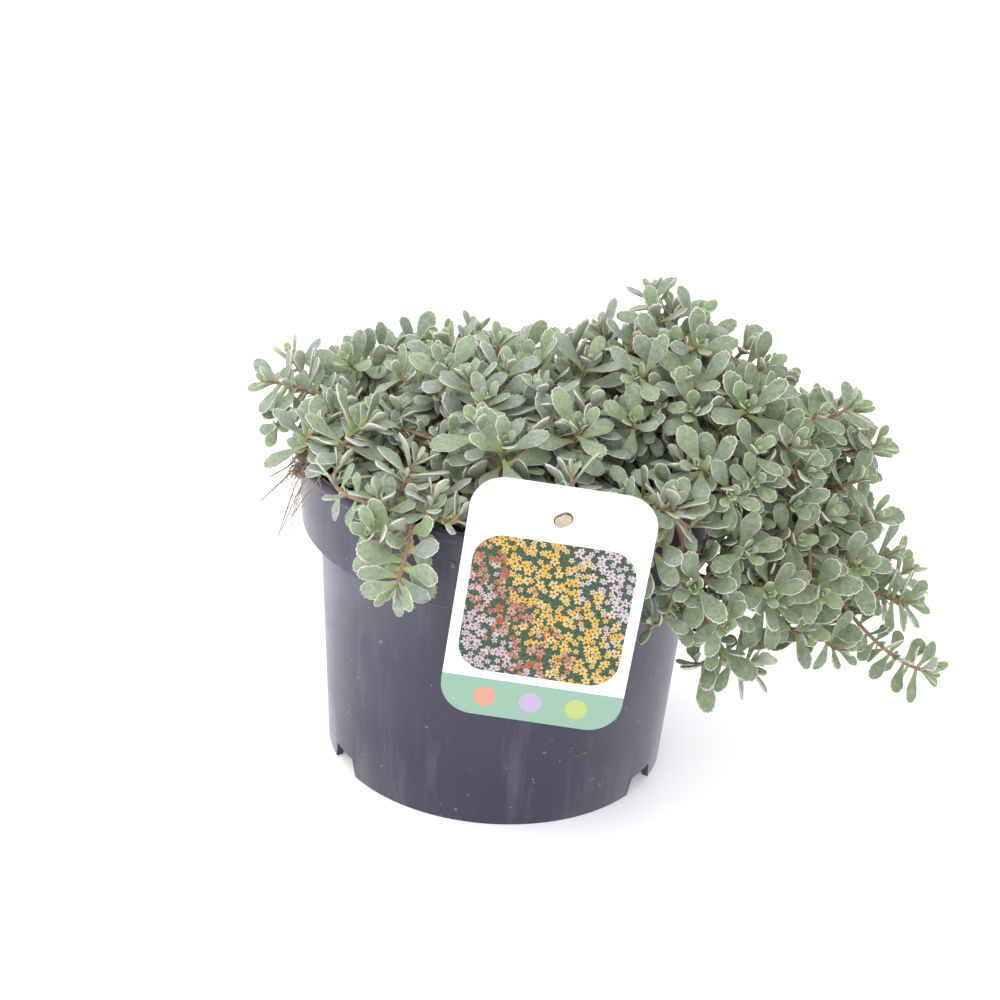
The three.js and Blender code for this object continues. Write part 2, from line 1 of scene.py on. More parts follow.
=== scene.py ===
import bmesh
import bpy
from math import cos, floor, hypot, pi, radians, sin, sqrt
from mathutils import Matrix, Vector, noise
from mathutils.bvhtree import BVHTree
from mathutils.kdtree import KDTree


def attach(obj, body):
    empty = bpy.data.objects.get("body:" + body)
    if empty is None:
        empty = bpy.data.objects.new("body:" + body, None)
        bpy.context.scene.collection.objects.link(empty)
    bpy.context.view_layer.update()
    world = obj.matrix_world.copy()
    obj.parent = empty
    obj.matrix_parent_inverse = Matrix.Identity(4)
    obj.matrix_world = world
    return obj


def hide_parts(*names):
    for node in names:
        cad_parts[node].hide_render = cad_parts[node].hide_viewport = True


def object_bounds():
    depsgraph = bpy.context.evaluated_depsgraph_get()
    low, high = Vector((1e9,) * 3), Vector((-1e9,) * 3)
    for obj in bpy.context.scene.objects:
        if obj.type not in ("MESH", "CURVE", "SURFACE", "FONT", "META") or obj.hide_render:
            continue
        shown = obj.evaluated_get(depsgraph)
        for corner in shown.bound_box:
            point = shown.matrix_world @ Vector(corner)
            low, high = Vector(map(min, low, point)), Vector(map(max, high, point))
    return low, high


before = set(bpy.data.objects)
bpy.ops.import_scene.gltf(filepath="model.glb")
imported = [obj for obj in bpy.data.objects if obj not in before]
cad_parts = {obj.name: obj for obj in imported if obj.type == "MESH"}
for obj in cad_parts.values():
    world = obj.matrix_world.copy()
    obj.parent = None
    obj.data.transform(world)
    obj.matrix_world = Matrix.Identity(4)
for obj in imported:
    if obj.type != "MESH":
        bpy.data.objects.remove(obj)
cad_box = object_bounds()
scene = bpy.context.scene

# The view
# A long lens looks down at the pot from the front, a little rolled, as a hand-held picture is.
# The pot stands on a wide white table under soft light from all round.
elevation = radians(25.59)
roll = radians(3.84)
look_at = Vector((-0.00448, 0.0, 0.11898))
forward = Vector((0, cos(elevation), -sin(elevation)))
level_up = Vector((1, 0, 0)).cross(forward)
right_edge = Vector((1, 0, 0)) * cos(roll) + level_up * sin(roll)
top_edge = level_up * cos(roll) - Vector((1, 0, 0)) * sin(roll)


def placed(name, data):
    item = bpy.data.objects.new(name, data)
    scene.collection.objects.link(item)
    return item


def piece_from(name, shape, *materials):
    data = bpy.data.meshes.new(name)
    shape.to_mesh(data)
    shape.free()
    data.shade_smooth()
    for material in materials:
        data.materials.append(material)
    return placed(name, data)


def feed(socket, value):
    if isinstance(value, bpy.types.NodeSocket):
        socket.id_data.links.new(value, socket)
    else:
        socket.default_value = value


def coat(material, **looks):
    for name, value in looks.items():
        feed(material.node_tree.nodes["Principled BSDF"].inputs[name.replace("_", " ").title()], value)


def new_material(name, roughness, specular=0.5):
    material = bpy.data.materials.new(name)
    material.use_nodes = True
    coat(material, roughness=roughness)
    material.node_tree.nodes["Principled BSDF"].inputs["Specular IOR Level"].default_value = specular
    return material


camera = placed("camera", bpy.data.cameras.new("camera"))
camera.data.sensor_width = 36
camera.data.lens = 81.9
turn = Matrix((right_edge, top_edge, -forward)).transposed().to_4x4()
camera.matrix_world = Matrix.Translation(look_at - forward) @ turn
scene.camera = camera
scene.view_settings.view_transform = "Standard"

table_mesh = bmesh.new()
bmesh.ops.create_grid(table_mesh, x_segments=1, y_segments=1, size=6)
white_table = new_material("white_table", 0.6)
coat(white_table, base_color=(0.9, 0.9, 0.915, 1), emission_color=(0.98, 0.98, 1, 1),
     emission_strength=0.22)
piece_from("table", table_mesh, white_table)

room_light = bpy.data.worlds.new("room_light")
room_light.use_nodes = True
room_light.node_tree.nodes["Background"].inputs["Color"].default_value = (0.97, 0.98, 1, 1)
room_light.node_tree.nodes["Background"].inputs["Strength"].default_value = 1.3
scene.world = room_light


def soft_light(name, place, size, watts):
    lamp = bpy.data.lights.new(name, "AREA")
    lamp.energy = watts
    lamp.size = size
    lamp.color = (1, 0.985, 0.96)
    holder = placed(name, lamp)
    holder.location = place
    holder.rotation_euler = (look_at - Vector(place)).to_track_quat("-Z", "Y").to_euler()


soft_light("overhead_light", (-0.5, -0.2, 1.45), 1.2, 7.5)
soft_light("front_light", (-0.9, -1.5, 0.9), 1.2, 9.5)
soft_light("back_light", (0.7, 1.4, 1.1), 1.2, 6)


# The nursery pot
# Thin injection-moulded plastic: a wide collar over a plain tapered body, a rolled lip, a raised floor
# with a round hub, and three drainage notches in the foot. Bluish dark grey, satin, dusty and scuffed.
pot_height = 0.1465
rim_radius = 0.095
collar_top_radius = 0.0927
collar_foot_radius = 0.0911
collar_foot = 0.1106
body_top_radius = 0.083
base_radius = 0.076
pot_wall = 0.0018
pot_floor = 0.010
notch_foot_width = 0.0212
notch_top_width = 0.0152
notch_height = 0.0085
notch_reach = 0.02


def dress(piece, slot, *nodes):
    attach(piece, "root")
    if nodes:
        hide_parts(*nodes)


def turn_outward(shape):
    bmesh.ops.recalc_face_normals(shape, faces=shape.faces)


def turned_shape(profile, steps):
    shape = bmesh.new()
    corners = [shape.verts.new((radius, 0, height)) for radius, height in profile]
    for lower, upper in zip(corners, corners[1:]):
        shape.edges.new((lower, upper))
    bmesh.ops.spin(shape, geom=shape.verts[:] + shape.edges[:], cent=(0, 0, 0), axis=(0, 0, 1),
                   angle=2 * pi, steps=steps, use_merge=True)
    bmesh.ops.remove_doubles(shape, verts=shape.verts, dist=1e-6)
    turn_outward(shape)
    return shape


def final_mesh(item):
    bpy.context.view_layer.update()
    return bpy.data.meshes.new_from_object(item.evaluated_get(bpy.context.evaluated_depsgraph_get()))


def body_radius(height):
    return base_radius + (body_top_radius - base_radius) * height / collar_foot


inner_top = collar_top_radius - pot_wall
inner_foot = collar_foot_radius - pot_wall
ledge = collar_foot + pot_wall
pot_shape = turned_shape([
    (0, 0), (0.0296, 0), (0.030, 0.0004), (0.0318, 0.0078), (0.0324, 0.0082), (0.0706, 0.0082),
    (0.0712, 0.0078), (0.0730, 0.0004), (0.0734, 0), (0.0756, 0), (base_radius, 0.0005),
    (body_radius(0.03), 0.03), (body_radius(0.07), 0.07), (body_radius(0.1095), 0.1095),
    (body_top_radius + 0.0005, 0.1102), (body_top_radius + 0.0014, collar_foot),
    (collar_foot_radius - 0.0006, collar_foot), (collar_foot_radius - 0.0001, 0.1110),
    (collar_foot_radius, 0.1118), (0.0919, 0.126),
    (0.09255, 0.1406), (0.0928, 0.1417), (0.0934, 0.14215), (0.0944, 0.1425), (0.0949, 0.1431),
    (rim_radius, 0.1442), (0.0949, 0.1455), (0.0944, 0.1462), (0.0937, pot_height), (0.0917, pot_height),
    (0.0911, 0.1461), (inner_top, 0.1452), (inner_foot, ledge + 0.001), (inner_foot - 0.001, ledge),
    (body_top_radius - pot_wall, ledge - 0.0006), (body_radius(pot_floor) - pot_wall, pot_floor + 0.0006),
    (body_radius(pot_floor) - pot_wall - 0.0006, pot_floor), (0.030, pot_floor), (0.0284, 0.0022),
    (0.028, pot_wall), (0, pot_wall),
], 128)
moulded_pot = piece_from("moulded_pot", pot_shape)
cutters = bmesh.new()
for notch_angle in (-60, 60, 180):
    spin_to = Matrix.Rotation(radians(notch_angle + 180), 4, "Z")
    new = bmesh.ops.create_cube(cutters, size=1)["verts"]
    for corner in new:
        width = notch_foot_width if corner.co.z < 0 else notch_top_width
        height = notch_height if corner.co.z > 0 else -0.002
        corner.co = spin_to @ Vector((corner.co.x * width, corner.co.y * notch_reach + base_radius, height))
notches = piece_from("notches", cutters)
cut = moulded_pot.modifiers.new("notches", "BOOLEAN")
cut.object = notches
cut.solver = "EXACT"
cut_data = final_mesh(moulded_pot)
moulded_pot.modifiers.clear()
moulded_pot.data = cut_data
bpy.data.objects.remove(notches)
moulded_pot.data.shade_smooth()
moulded_pot.data.set_sharp_from_angle(angle=radians(38))


def add_node(tree, kind, *fed, **values):
    node = tree.nodes.new(kind)
    for name, value in values.items():
        if hasattr(node, name):
            setattr(node, name, value)
        else:
            node.inputs[name.replace("_", " ").title()].default_value = value
    for socket, value in zip(node.inputs, fed):
        feed(socket, value)
    return node


def mixed(share, first, second):
    mix = add_node(share.id_data, "ShaderNodeMix", share, data_type="RGBA")
    feed(mix.inputs[6], first)
    feed(mix.inputs[7], second)
    return mix.outputs[2]


def ramp(source, *stops):
    node = add_node(source.id_data, "ShaderNodeValToRGB", source)
    elements = node.color_ramp.elements
    while len(elements) < len(stops):
        elements.new(0.5)
    for element, (place, shade) in zip(elements, stops):
        element.position = place
        element.color = shade if isinstance(shade, tuple) else (shade, shade, shade, 1)
    return node.outputs[0]


def in_place(material, scale=(1, 1, 1)):
    coordinates = add_node(material.node_tree, "ShaderNodeTexCoord")
    return add_node(material.node_tree, "ShaderNodeMapping", coordinates.outputs["Object"],
                    scale=scale).outputs[0]


def cloudy(place, scale, detail=3.0, roughness=0.6):
    return add_node(place.id_data, "ShaderNodeTexNoise", place, scale=scale, detail=detail,
                    roughness=roughness).outputs[0]


def bumped(height, distance, below=None):
    node = add_node(height.id_data, "ShaderNodeBump", distance=distance)
    feed(node.inputs["Height"], height)
    if below:
        feed(node.inputs["Normal"], below)
    return node.outputs[0]


def maths(operation, *values):
    return add_node(values[0].id_data, "ShaderNodeMath", *values, operation=operation).outputs[0]


def vector_maths(operation, *values):
    outputs = add_node(values[0].id_data, "ShaderNodeVectorMath", *values, operation=operation).outputs
    return outputs["Value" if operation == "LENGTH" else "Vector"]


def parts_of(source, kind="XYZ"):
    return add_node(source.id_data, "ShaderNodeSeparate" + kind, source).outputs


pot_plastic = new_material("pot_plastic", 0.42)
here = in_place(pot_plastic)
streaky = in_place(pot_plastic, (60, 60, 7))
dust = ramp(cloudy(here, 26, 6, 0.65), (0.46, 0), (0.72, 1))
streaks = ramp(cloudy(streaky, 1.6, 5, 0.7), (0.5, 0), (0.75, 1))
specks = ramp(cloudy(here, 260, 2, 0.5), (0.715, 0), (0.735, 1))
crumbs = ramp(cloudy(here, 95, 3, 0.6), (0.70, 0), (0.715, 1))
plain = mixed(dust, (0.030, 0.028, 0.054, 1), (0.043, 0.041, 0.066, 1))
# Painted shade: the pot's colour darkens towards its foot.
painted_foot_shade = ramp(parts_of(here)[2], (0.01, 1), (0.09, 0))
# Painted light: the pot's colour lightens towards its right side.
painted_right_light = ramp(parts_of(here)[0], (0.035, 0), (0.085, 1))
with_painted_foot_shade = mixed(painted_foot_shade, plain, (0.017, 0.016, 0.040, 1))
with_painted_right_light = mixed(painted_right_light, with_painted_foot_shade, (0.078, 0.075, 0.102, 1))
streaked = mixed(streaks, with_painted_right_light, (0.070, 0.068, 0.092, 1))
speckled = mixed(specks, streaked, (0.14, 0.13, 0.13, 1))
grain = bumped(cloudy(here, 900, 2, 0.5), 0.00008)
coat(pot_plastic, base_color=mixed(crumbs, speckled, (0.028, 0.020, 0.014, 1)),
     roughness=ramp(cloudy(here, 40, 5, 0.7), (0.3, 0.36), (0.7, 0.52)),
     normal=bumped(crumbs, 0.0004, grain), sheen_weight=0.45, sheen_roughness=0.35,
     sheen_tint=(0.85, 0.85, 1, 1))
moulded_pot.data.materials.clear()
moulded_pot.data.materials.append(pot_plastic)
dress(moulded_pot, "pot_plastic", "pot")


# The soil
# Dark moist potting compost, filled to a finger below the lip: a closed block with a crumbly top.
soil_level = pot_height - 0.013
soil_shape = turned_shape([
    (0, pot_floor + 0.0004), (body_radius(pot_floor) - 0.0026, pot_floor + 0.0004),
    (body_top_radius - 0.0022, ledge + 0.0004), (inner_foot - 0.0004, ledge + 0.0004),
    (inner_foot + 0.0002, soil_level), (0.088, soil_level + 0.0006), (0.080, soil_level + 0.001),
    (0.068, soil_level + 0.0015), (0.056, soil_level + 0.0016), (0.044, soil_level + 0.0017),
    (0.032, soil_level + 0.0018), (0.018, soil_level + 0.0019), (0, soil_level + 0.002),
], 72)
top_edges = [edge for edge in soil_shape.edges
             if min(corner.co.z for corner in edge.verts) > soil_level + 0.0003]
bmesh.ops.subdivide_edges(soil_shape, edges=top_edges, cuts=1, use_grid_fill=True)
for corner in soil_shape.verts:
    x, y, z = corner.co
    if z > soil_level + 0.0003:
        wave = sin(x * 110 + 1) * cos(y * 130) + 0.5 * sin(x * 270 - y * 210)
        crumb = noise.fractal(Vector((x, y, 0)) * 170, 0.8, 2.0, 3)
        corner.co.z += 0.0014 * wave + 0.0011 * crumb
turn_outward(soil_shape)
compost = new_material("compost", 0.95, 0.2)
here = in_place(compost)
lumps = cloudy(here, 160, 8, 0.75)
dark = mixed(ramp(lumps, (0.35, 0), (0.65, 1)), (0.012, 0.008, 0.005, 1),
             (0.07, 0.045, 0.028, 1))
fibres = ramp(cloudy(in_place(compost, (300, 900, 500)), 1, 4, 0.6), (0.66, 0), (0.7, 1))
coat(compost, base_color=mixed(fibres, dark, (0.20, 0.13, 0.07, 1)), normal=bumped(lumps, 0.0025))
soil_piece = piece_from("potting_soil", soil_shape, compost)
dress(soil_piece, "soil", "soil")


# The leaf
# A fleshy wedge that widens to a rounded, shallowly toothed end: grey-green with a pale cream margin.
# It is drawn flat here once, and every leaf of the plant is bent from it.
# x runs across in half widths, y along in lengths, z through in thicknesses.
half_outline = [
    (0.0, 0.16), (0.26, 0.34), (0.50, 0.76), (0.67, 1.0), (0.775, 0.98), (0.815, 0.85), (0.895, 0.78),
    (0.915, 0.58), (0.985, 0.42), (0.97, 0.22),
]
young_outline = [(0.0, 0.2), (0.35, 0.62), (0.64, 1.0), (0.86, 0.80)]
leaf_paint = "leaf_paint"
leaf_map = "leaf_uv"


def leaf_shape(name, half):
    shape = bmesh.new()
    paint = shape.verts.layers.float_color.new(leaf_paint)
    across = shape.loops.layers.uv.new(leaf_map)
    outline = [(wide, along) for along, wide in half] + [(0, 1)]
    outline += [(-wide, along) for along, wide in reversed(half)]
    bmesh.ops.create_circle(shape, segments=len(outline), radius=1)
    rim = shape.edges[:]
    for corner, (x, y) in zip(shape.verts, outline):
        corner.co = (x, y, -0.25)
        corner[paint] = (1, 0, 0, 0)

    def ring_inside(edges, side, end, lift, edge, under):
        made = bmesh.ops.extrude_edge_only(shape, edges=edges)["geom"]
        for corner in made:
            if isinstance(corner, bmesh.types.BMVert):
                corner.co = (corner.co.x * side, 0.5 + (corner.co.y - 0.5) * end, lift)
                corner[paint] = (edge, 0, 0, under)
        return [part for part in made if isinstance(part, bmesh.types.BMEdge)]

    def closed_across(edges):
        cap = bmesh.ops.contextual_create(shape, geom=edges)["faces"][0]
        left = sorted((corner for corner in cap.verts if corner.co.x < 0), key=lambda corner: corner.co.y)
        right = sorted((corner for corner in cap.verts if corner.co.x > 0), key=lambda corner: corner.co.y)
        for pair in list(zip(left, right))[1:]:
            bmesh.ops.connect_verts(shape, verts=pair)

    closed_across(ring_inside(rim, 0.8, 0.93, 0.08, 0, 0))
    closed_across(ring_inside(rim, 0.6, 0.9, -1.0, 0, 1))
    turn_outward(shape)
    for face in shape.faces:
        for loop in face.loops:
            loop[across].uv = (0.5 + 0.5 * loop.vert.co.x, loop.vert.co.y)
    data = bpy.data.meshes.new(name)
    shape.to_mesh(data)
    shape.free()
    return data


grown_leaf = leaf_shape("grown_leaf", half_outline)
young_leaf = leaf_shape("young_leaf", young_outline)


# The shoots
# Red-brown fleshy stems as thick as a match, square in the bud and round with age, that cushion the pot and
# trail over its right side. Leaves stand on them in crossed pairs, close together in a crown at each tip.
soil_mm = 133.5
root_depth = 11
lip_mm = 146.5
clear_radius = 104
stem_radius = 1.5
leaf_aspect = 0.41
leaf_cup = 0.13
leaf_depth = 1.3
leaf_inset = 0.4
big_crown = 21.5
long_stem = 105
light = Vector((0, -0.45, 0.9))
light_pull = 0.5
same_corner = 0.05
same_leaf = 0.6
# Each row: the stem's foot, how steeply it rises, which way its crown faces, and each crown's tip and leaf
# length, in millimetres. The first crown ends the main stem, and the others end its side branches.
shoots = [
    # Stems that trail over the rim
    ((76, 6), 92, None, [(181, 0, 82, 19), (171, 8, 101, 19), (159, -10, 128, 21), (150, -8, 144, 18)]),
    ((76, -10), 92, None, [(188, -24, 61, 18), (148, -32, 73, 19), (128, -46, 87, 21)]),
    ((56, -60), 60, None, [(106, -56, 77, 19), (60, -82, 107, 13)]),
    ((76, -22), 60, None, [(134, -30, 137, 19), (120, -46, 131, 19)]),
    ((74, -32), 64, None, [(114, -56, 106, 22), (98, -66, 134, 19)]),
    ((76, 24), 76, None, [(147, 20, 112, 19), (140, 32, 134, 19)]),
    ((66, 46), 60, None, [(124, 50, 140, 19), (140, 36, 112, 19)]),
    ((54, 56), 44, None, [(98, 66, 150, 20)]),
    # Cushion over the left and middle of the pot
    ((-70, 2), 40, (-0.85, -0.45, 0.3), [(-106, 0, 168, 21), (-101, -12, 153, 13)]),
    ((-46, -30), None, None, [(-61, -41, 170, 23), (-49, -26, 172, 13)]),
    ((-68, -24), None, None, [(-84, -34, 161, 20), (-74, -18, 169, 14)]),
    ((-32, -56), None, None, [(-39, -67, 166, 20)]),
    ((-30, -8), None, None, [(-30, -13, 185, 23), (-52, -4, 178, 16)]),
    ((-52, 22), None, None, [(-54, 30, 175, 16), (-74, 15, 173, 18)]),
    ((-38, 48), None, None, [(-45, 60, 167, 20)]),
    ((-6, -50), None, None, [(-4, -63, 174, 23)]),
    ((20, -34), None, None, [(26, -48, 177, 22), (9, -26, 184, 17)]),
    ((18, -66), None, None, [(23, -74, 168, 18)]),
    ((24, 2), None, None, [(29, 0, 187, 22)]),
    ((-4, 32), None, None, [(3, 32, 173, 19), (-24, 46, 172, 16)]),
    ((-24, -74), None, None, [(-31, -86, 161, 14), (-20, -92, 156, 13)]),
    ((-54, -60), None, None, [(-54, -82, 157, 16), (-71, -60, 159, 14)]),
    ((-42, -74), 44, (0.1, -0.55, -0.8), [(-43, -108, 130, 22), (-55, -100, 147, 18)]),
    ((-68, 40), None, None, [(-84, 44, 156, 18)]),
    ((-42, 64), None, None, [(-60, 77, 154, 18), (-28, 86, 156, 17)]),
    ((8, 68), None, None, [(12, 80, 153, 17)]),
    ((34, 60), None, None, [(46, 74, 158, 18)]),
    ((52, -66), None, None, [(66, -73, 157, 17), (44, -82, 159, 14)]),
    ((46, -18), None, None, [(59, -9, 175, 15), (48, -34, 175, 17)]),
    ((56, -48), None, None, [(69, -44, 165, 17)]),
    ((-10, -28), None, None, [(-13, -38, 183, 18)]),
    ((-14, 6), None, None, [(-9, 9, 190, 19), (-32, 20, 185, 17)]),
    # Upright crown of the right side
    ((56, 26), None, None, [(76, 22, 203, 20), (75, -4, 199, 19), (50, 36, 189, 22)]),
    ((66, 14), None, None, [(98, 16, 193, 20), (104, 0, 190, 19)]),
    ((42, 12), None, None, [(49, 13, 195, 20)]),
    ((62, -4), None, None, [(143, -2, 176, 18), (127, -18, 177, 16), (89, -14, 186, 21)]),
    ((66, 34), None, None, [(158, 8, 154, 20), (150, 26, 162, 18), (118, 34, 170, 19)]),
    ((70, -14), None, None, [(106, -17, 183, 22), (116, -34, 169, 19)]),
    ((68, -30), None, None, [(123, -34, 158, 19), (99, -48, 172, 18)]),
    ((64, -40), None, None, [(87, -50, 158, 22)]),
]
# Distance below the tip, size and lean of each pair that the solid shoots have
solid_pairs = [(2.2, 0.62, 38), (5, 0.92, 60), (9, 1.0, 78), (16, 0.95, 84)]
# Turn, lean and size that a leaf may have taken to keep clear of its neighbours
leaf_ways = [
    (0, 0, 1), (0, -14, 1), (0, 12, 1), (14, 0, 1), (-14, 0, 1), (16, -14, 0.94), (-16, -14, 0.94),
    (26, 6, 0.9), (-26, 6, 0.9), (0, -26, 0.88), (0, 24, 0.88), (0, 0, 0.72), (20, -22, 0.72),
    (-20, -22, 0.72), (34, 12, 0.72), (-34, 12, 0.72), (0, -36, 0.6), (0, 30, 0.6), (0, 0, 0.5),
]


def draws(seed):
    state = (seed * 7919 + 17) % 2147483647
    while True:
        state = state * 48271 % 2147483647
        yield state / 2147483647


class Stem:
    def __init__(self, *points):
        self.points = points
        self.reach = sum((one - other).length for one, other in zip(points, points[1:]))
        self.stretches = max(3, floor(self.reach / 20 + 0.5))

    def at(self, share):
        a, b, c, d = self.points
        rest = 1 - share
        return a * rest ** 3 + b * (3 * rest * rest * share) + c * (3 * rest * share * share) + d * share ** 3

    def tangent(self, share):
        return (self.at(min(share + 1e-4, 1)) - self.at(max(share - 1e-4, 0))).normalized()

    def sides(self, share):
        up = self.tangent(share)
        first = up.cross(Vector((0, 1, 0))).normalized()
        return up, first, up.cross(first)

    def middle(self, share):
        below = min(floor(share * self.stretches), self.stretches - 1)
        lower = self.at(below / self.stretches)
        return lower.lerp(self.at((below + 1) / self.stretches), share * self.stretches - below)

    def ring(self, step, radius, start):
        centre = self.at(step / self.stretches)
        _, first, second = self.sides(step / self.stretches)
        angles = [radians(start + 90 * quarter) for quarter in range(4)]
        return [centre + (first * cos(angle) + second * sin(angle)) * radius for angle in angles]


def crown_faces(root, tip, aim=None):
    if aim:
        return Vector(aim).normalized()
    out = Vector((tip.x - root.x, tip.y - root.y, 0))
    reach = min(out.length / 50, 1)
    height = min(max((tip.z - 60) / 110, 0.02), 1)
    return (out.normalized() * (0.25 + 0.65 * reach) + Vector((0, -0.22, height))).normalized()


def beside_lip(point):
    radius = hypot(point.x, point.y)
    if point.z > lip_mm + 9 or radius > clear_radius:
        return point
    return Vector((point.x * clear_radius / radius, point.y * clear_radius / radius, point.z))


def stems_of(shoot, bend, lift):
    foot, rise, aim, crowns = shoot
    root = Vector((foot[0], foot[1], soil_mm - root_depth))
    tips = [Vector(crown[:3]) for crown in crowns]
    span = (tips[0] - root).length
    across = Vector((tips[0].y - root.y, root.x - tips[0].x, 0)).normalized() * bend
    faces = crown_faces(root, tips[0], aim)
    top = Vector((0, 0, (0.5 * span if rise is None else rise) + lift))
    main = Stem(root, root + across + top, beside_lip(tips[0] + across - faces * 0.4 * span), tips[0])
    stems = [main]
    for tip in tips[1:]:
        nearest = 0
        share = 0
        while share <= 1:
            if (main.at(share) - tip).length < (main.at(nearest) - tip).length:
                nearest = share
            share += 0.025
        fork = min(max(nearest - 0.18, 0.3), 0.82)
        start = main.middle(fork)
        length = (start - tip).length
        entry = beside_lip(tip - crown_faces(root, tip) * 0.4 * length)
        stems.append(Stem(start, start + main.tangent(fork) * 0.35 * length, entry, tip))
    return stems


class Leaf:
    def __init__(self, stem, back, turn, lean, length, aspect, curl, pull=light_pull):
        self.share = max(1 - back / stem.reach, 0.05)
        self.settle = stem.at(self.share) - stem.middle(self.share)
        up, first, second = stem.sides(self.share)
        out = first * cos(radians(turn)) + second * sin(radians(turn))
        self.base = stem.middle(self.share) - out * leaf_inset
        self.along = up * cos(radians(lean)) + out * sin(radians(lean))
        facing = (up * sin(radians(lean)) - out * cos(radians(lean))).lerp(light, pull)
        self.normal = (facing - self.along * facing.dot(self.along)).normalized()
        self.side = self.along.cross(self.normal)
        self.length = length
        self.width = length * aspect
        self.curl = curl

    def point(self, x, y, lift=0.0):
        height = self.curl * self.length * y * y + leaf_cup * 0.5 * self.width * x * x + lift
        place = self.base + self.along * self.length * y
        return place + self.side * (0.5 * self.width * x) + self.normal * height

    def seated(self, x, y, lift):
        return self.point(x, y, lift) + self.settle * (1 - min(y, 1)) ** 2


def solid_leaves(length, seed, stem):
    draw = draws(seed)
    start = 360 * next(draw)
    pairs = solid_pairs[:3] if length > big_crown else solid_pairs[1:3]
    if stem.reach > long_stem:
        pairs = pairs + solid_pairs[3:]
    wanted = []
    for level, (back, size, lean) in enumerate(pairs):
        for half in (0, 180):
            turn = start + 90 * level + half + 16 * (next(draw) - 0.5)
            leaf_lean = lean + 18 * (next(draw) - 0.5)
            leaf_length = length * size * (0.9 + 0.2 * next(draw))
            aspect = leaf_aspect * (0.92 + 0.22 * next(draw))
            curl = 0.16 * (next(draw) - 0.62)
            wanted.append((back, turn, leaf_lean, leaf_length, aspect, curl))
    return wanted


def misses(tree, points):
    return [tree.find(point)[2] for point in points]


# Each solid shoot's own stems and leaves, found by holding the ways they may have grown against its mesh
plants = []
for number, shoot in enumerate(shoots):
    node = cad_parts[f"shoot_{number + 1:02d}"]
    tree = KDTree(len(node.data.vertices))
    for index, corner in enumerate(node.data.vertices):
        tree.insert(corner.co * 1000, index)
    tree.balance()
    turn = 360 * next(draws(100 * (number + 1))) + 45
    best = (-1, None)
    for lift in (0, 14, 28, 42):
        for bend in (0, 6, -6, 12, -12, 18, -18):
            stems = stems_of(shoot, bend, lift)
            corners = [point for step in range(stems[0].stretches + 1)
                       for point in stems[0].ring(step, stem_radius, turn)]
            found = sum(1 for miss in misses(tree, corners) if miss < same_corner)
            if found > best[0]:
                best = (found, stems)
    leaves = []
    for k, stem in enumerate(best[1]):
        wanted = solid_leaves(shoot[3][k][3], 100 * (number + 1) + k, stem)
        for back, turn, lean, length, aspect, curl in wanted:
            tries = []
            for more_turn, more_lean, size in leaf_ways:
                leaf = Leaf(stem, back, turn + more_turn, lean + more_lean, length * size, aspect, curl)
                marks = [leaf.point(0, 1)] + [leaf.point(side * x, y) for side in (1, -1)
                                              for y, x in ((0.63, 1), (0.775, 0.75), (0.9, 0.68))]
                tries.append((sorted(misses(tree, marks))[3], leaf))
            miss, leaf = min(tries, key=lambda item: item[0])
            if miss < same_leaf:
                leaves.append((k, leaf))
    plants.append((best[1], leaves))


# Smaller side branches fill the plant between these crowns, each from the stem of the crown beside it. They
# stay out of the pot and the card, whose place is given in x, y and z, and inside the outline of the plant.
card_place = ((-27, 61), (-98.5, -95), (60, 178))
wall_inside = 88
trails_from = 60
lip_room = 14
lip_reach = 84
hanging_below = 118
back_of_trail = 66
branch_tries = 90
branch_shift = 52
branch_lengths = (9, 52)


def in_pot_or_card(point, room=1):
    radius = hypot(point.x, point.y)
    over_soil = radius < wall_inside and point.z > soil_mm + 3
    if point.z < lip_mm + room and radius < rim_radius * 1000 + room and not over_soil:
        return True
    (left, right), (front, back), (low, high) = card_place
    return left < point.x < right and low < point.z < high and front - room < point.y < back + room


def outside_plant(point, beside):
    out = hypot(point.x, point.y) - hypot(beside.x, beside.y)
    if beside.x < trails_from:
        below_lip = point.z < lip_mm + lip_room and hypot(point.x, point.y) > lip_reach
        return out > 1 or below_lip and (beside.z > lip_mm or point.z < beside.z + 4)
    return out > 4 or point.z < beside.z and beside.z < hanging_below or point.y > back_of_trail


def in_box(point, room=3):
    low, high = cad_box
    return all(a * 1000 - room < place < b * 1000 + room for a, place, b in zip(low, point, high))


def branch_spacing(tip):
    if tip.x < 70 or tip.z > 150:
        return 13.5
    return 17 if tip.z > 125 else 22


tips = [stem.points[3] for stems, _ in plants for stem in stems]
draw = draws(31)
branches = []
for number, (stems, _) in enumerate(plants):
    for k, stem in enumerate(list(stems)):
        tip = stem.points[3]
        faces = (stem.points[3] - stem.points[2]).normalized()
        for _ in range(branch_tries):
            shift = Vector((next(draw) - 0.5, next(draw) - 0.5, next(draw) - 0.62)) * branch_shift
            new_tip = tip + shift
            nearest = min((new_tip - other).length for other in tips)
            if nearest < branch_spacing(tip) or in_pot_or_card(new_tip, 3):
                continue
            if shift.dot(faces) > -2 or shift.z > 4 or outside_plant(new_tip, tip):
                continue
            share = min(max(1 - 24 / stem.reach - 0.25 * next(draw), 0.3), 0.8)
            start = stem.at(share)
            long = (new_tip - start).length
            if long < branch_lengths[0] or long > branch_lengths[1] or in_pot_or_card(start, 0):
                continue
            out = (shift.normalized() + faces + Vector((0, -0.45, 0.65))).normalized()
            leaves_stem = start + stem.tangent(share) * 0.35 * long
            branch = Stem(start, leaves_stem, new_tip - out * 0.4 * long, new_tip)
            if any(in_pot_or_card(branch.at(step / 6), 0) for step in range(1, 7)):
                continue
            tips.append(new_tip)
            branches.append((number, branch, shoots[number][3][k][3] * (0.82 + 0.3 * next(draw))))


